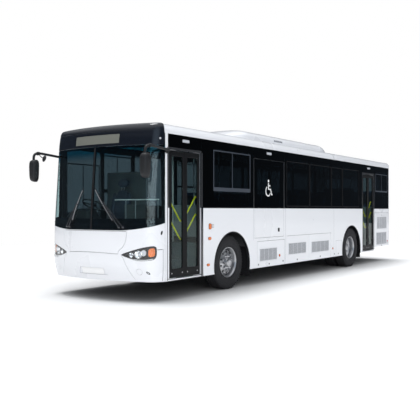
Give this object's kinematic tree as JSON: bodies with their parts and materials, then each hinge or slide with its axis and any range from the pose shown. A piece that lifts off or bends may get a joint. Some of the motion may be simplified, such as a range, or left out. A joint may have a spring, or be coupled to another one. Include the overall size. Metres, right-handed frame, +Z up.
{
  "type": "city bus",
  "caption": "High-floor city bus with gliding doors, a wheelchair door, side flaps, roof cooling unit and steered front wheels.",
  "frame": {"origin": "on the ground, at the middle of the outline including the mirrors", "axes": "+X forwards, +Y to the kerb side with the doors, +Z up"},
  "size_m": [11.99, 2.82, 3.2705],
  "materials": {
    "white_paint": "gloss white paint",
    "black_paint": "gloss black paint",
    "dark_metal": "satin black chassis paint",
    "tinted_glass": "dark tinted glass",
    "clear_glass": "clear laminated glass with a tinted top band",
    "tyre_rubber": "matt black rubber",
    "rim_metal": "polished disc wheel",
    "bare_steel": "machined and forged steel",
    "lamp_lens": "clear lamp lens over a dark housing",
    "red_lens": "red lamp lens",
    "black_plastic": "grained black plastic",
    "grey_plastic": "moulded grey plastic",
    "seat_plastic": "moulded blue plastic",
    "seat_fabric": "woven seat cloth",
    "floor_vinyl": "flecked vinyl flooring",
    "yellow_coat": "powder coated yellow tube",
    "inner_sheet": "primed sheet metal"
  },
  "bodies": {
    "body": {"frame_rails": "dark_metal", "frame_crossmembers": "dark_metal", "bumper_beams": "dark_metal", "floor": "floor_vinyl", "underfloor_bays": "inner_sheet", "left_side_wall": "white_paint", "right_side_wall": "white_paint", "front_panel": "white_paint", "front_cap": "black_paint", "windscreen": "clear_glass", "roof": "white_paint", "rear_wall": "white_paint", "windows": "tinted_glass", "ac_unit": "white_paint", "mirrors": "black_plastic", "wipers": "black_plastic", "headlamps": "lamp_lens", "tail_lamps": "red_lens", "dashboard": "black_plastic", "driver_seat": "seat_fabric", "driver_partition": "grey_plastic", "passenger_seats": "seat_plastic", "grab_rails": "yellow_coat", "engine": "dark_metal", "front_axle": "dark_metal", "rear_axle": "dark_metal"},
    "steering_wheel": {"steering_wheel": "black_plastic"},
    "left_knuckle": {"left_knuckle": "bare_steel"},
    "right_knuckle": {"right_knuckle": "bare_steel"},
    "track_rod": {"track_rod": "bare_steel"},
    "left_front_wheel": {"left_front_rim": "rim_metal", "left_front_tyre": "tyre_rubber"},
    "right_front_wheel": {"right_front_rim": "rim_metal", "right_front_tyre": "tyre_rubber"},
    "left_rear_wheels": {"left_rear_rims": "rim_metal", "left_rear_tyres": "tyre_rubber"},
    "right_rear_wheels": {"right_rear_rims": "rim_metal", "right_rear_tyres": "tyre_rubber"},
    "front_door_leading_arm": {"front_door_leading_arm": "bare_steel"},
    "front_door_leading_leaf": {"front_door_leading_leaf": "black_paint"},
    "front_door_trailing_arm": {"front_door_trailing_arm": "bare_steel"},
    "front_door_trailing_leaf": {"front_door_trailing_leaf": "black_paint"},
    "rear_door_leading_arm": {"rear_door_leading_arm": "bare_steel"},
    "rear_door_leading_leaf": {"rear_door_leading_leaf": "black_paint"},
    "rear_door_trailing_arm": {"rear_door_trailing_arm": "bare_steel"},
    "rear_door_trailing_leaf": {"rear_door_trailing_leaf": "black_paint"},
    "wheelchair_door": {"wheelchair_door": "white_paint"},
    "left_flap_1": {"left_flap_1": "white_paint"},
    "left_flap_2": {"left_flap_2": "white_paint"},
    "left_flap_3": {"left_flap_3": "white_paint"},
    "left_engine_flap": {"left_engine_flap": "white_paint"},
    "right_flap_1": {"right_flap_1": "white_paint"},
    "right_flap_2": {"right_flap_2": "white_paint"},
    "front_flap": {"front_flap": "white_paint"},
    "engine_door": {"engine_door": "white_paint"}
  },
  "joints": [
    {"name": "left_steer", "type": "hinge", "parent": "body", "child": "left_knuckle", "pos_m": [3.205, 0.88, 0.525], "axis": [0, 0, 1], "range_deg": [-38, 38]},
    {"name": "right_steer", "type": "hinge", "parent": "body", "child": "right_knuckle", "pos_m": [3.205, -0.88, 0.525], "axis": [0, 0, 1], "range_deg": [-38, 38]},
    {"name": "track_rod_pivot", "type": "hinge", "parent": "left_knuckle", "child": "track_rod", "pos_m": [3.015, 0.88, 0.412], "axis": [0, 0, 1], "range_deg": [-38, 38]},
    {"name": "steering_wheel_turn", "type": "hinge", "parent": "body", "child": "steering_wheel", "pos_m": [5.075, -0.64, 1.64], "axis": [-0.4695, 0, 0.8829], "range_deg": [-610, 610]},
    {"name": "left_front_spin", "type": "hinge", "parent": "left_knuckle", "child": "left_front_wheel", "pos_m": [3.205, 1.03, 0.525], "axis": [0, 1, 0], "continuous": true},
    {"name": "left_rear_spin", "type": "hinge", "parent": "body", "child": "left_rear_wheels", "pos_m": [-2.845, 1.085, 0.525], "axis": [0, 1, 0], "continuous": true},
    {"name": "right_front_spin", "type": "hinge", "parent": "right_knuckle", "child": "right_front_wheel", "pos_m": [3.205, -1.03, 0.525], "axis": [0, 1, 0], "continuous": true},
    {"name": "right_rear_spin", "type": "hinge", "parent": "body", "child": "right_rear_wheels", "pos_m": [-2.845, -1.085, 0.525], "axis": [0, 1, 0], "continuous": true},
    {"name": "front_door_leading_arm_turn", "type": "hinge", "parent": "body", "child": "front_door_leading_arm", "pos_m": [5.222, 1.225, 1], "axis": [0, 0, 1], "range_deg": [0, 84]},
    {"name": "front_door_leading_leaf_turn", "type": "hinge", "parent": "front_door_leading_arm", "child": "front_door_leading_leaf", "pos_m": [5.019, 1.225, 1], "axis": [0, 0, -1], "range_deg": [0, 168]},
    {"name": "front_door_trailing_arm_turn", "type": "hinge", "parent": "body", "child": "front_door_trailing_arm", "pos_m": [4.28, 1.225, 1], "axis": [0, 0, -1], "range_deg": [0, 84]},
    {"name": "front_door_trailing_leaf_turn", "type": "hinge", "parent": "front_door_trailing_arm", "child": "front_door_trailing_leaf", "pos_m": [4.483, 1.225, 1], "axis": [0, 0, 1], "range_deg": [0, 168]},
    {"name": "rear_door_leading_arm_turn", "type": "hinge", "parent": "body", "child": "rear_door_leading_arm", "pos_m": [-3.639, 1.225, 1], "axis": [0, 0, 1], "range_deg": [0, 84]},
    {"name": "rear_door_leading_leaf_turn", "type": "hinge", "parent": "rear_door_leading_arm", "child": "rear_door_leading_leaf", "pos_m": [-3.8345, 1.225, 1], "axis": [0, 0, -1], "range_deg": [0, 168]},
    {"name": "rear_door_trailing_arm_turn", "type": "hinge", "parent": "body", "child": "rear_door_trailing_arm", "pos_m": [-4.551, 1.225, 1], "axis": [0, 0, -1], "range_deg": [0, 84]},
    {"name": "rear_door_trailing_leaf_turn", "type": "hinge", "parent": "rear_door_trailing_arm", "child": "rear_door_trailing_leaf", "pos_m": [-4.3555, 1.225, 1], "axis": [0, 0, 1], "range_deg": [0, 168]},
    {"name": "wheelchair_door_swing", "type": "hinge", "parent": "body", "child": "wheelchair_door", "pos_m": [2.355, 1.25, 1.7], "axis": [0, 0, -1], "range_deg": [0, 100]},
    {"name": "left_flap_1_lift", "type": "hinge", "parent": "body", "child": "left_flap_1", "pos_m": [1.654, 1.25, 0.89], "axis": [1, 0, 0], "range_deg": [0, 85]},
    {"name": "left_flap_2_lift", "type": "hinge", "parent": "body", "child": "left_flap_2", "pos_m": [0.374, 1.25, 0.962], "axis": [1, 0, 0], "range_deg": [0, 85]},
    {"name": "left_flap_3_lift", "type": "hinge", "parent": "body", "child": "left_flap_3", "pos_m": [-0.833, 1.25, 0.962], "axis": [1, 0, 0], "range_deg": [0, 85]},
    {"name": "left_engine_flap_lift", "type": "hinge", "parent": "body", "child": "left_engine_flap", "pos_m": [-5.2025, 1.25, 1.462], "axis": [1, 0, 0], "range_deg": [0, 85]},
    {"name": "right_flap_1_lift", "type": "hinge", "parent": "body", "child": "right_flap_1", "pos_m": [1.3285, -1.25, 0.962], "axis": [-1, 0, 0], "range_deg": [0, 85]},
    {"name": "right_flap_2_lift", "type": "hinge", "parent": "body", "child": "right_flap_2", "pos_m": [-0.533, -1.25, 0.962], "axis": [-1, 0, 0], "range_deg": [0, 85]},
    {"name": "front_flap_lift", "type": "hinge", "parent": "body", "child": "front_flap", "pos_m": [5.81, 0, 1.195], "axis": [0, -1, 0], "range_deg": [0, 70]},
    {"name": "engine_door_lift", "type": "hinge", "parent": "body", "child": "engine_door", "pos_m": [-5.995, 0, 1.5], "axis": [0, 1, 0], "range_deg": [0, 80]}
  ],
  "couplings": [
    {"joint": "right_steer", "follows": "left_steer", "ratio": 1},
    {"joint": "track_rod_pivot", "follows": "left_steer", "ratio": -1},
    {"joint": "steering_wheel_turn", "follows": "left_steer", "ratio": 16},
    {"joint": "front_door_leading_leaf_turn", "follows": "front_door_leading_arm_turn", "ratio": 2},
    {"joint": "front_door_trailing_leaf_turn", "follows": "front_door_trailing_arm_turn", "ratio": 2},
    {"joint": "rear_door_leading_leaf_turn", "follows": "rear_door_leading_arm_turn", "ratio": 2},
    {"joint": "rear_door_trailing_leaf_turn", "follows": "rear_door_trailing_arm_turn", "ratio": 2}
  ]
}
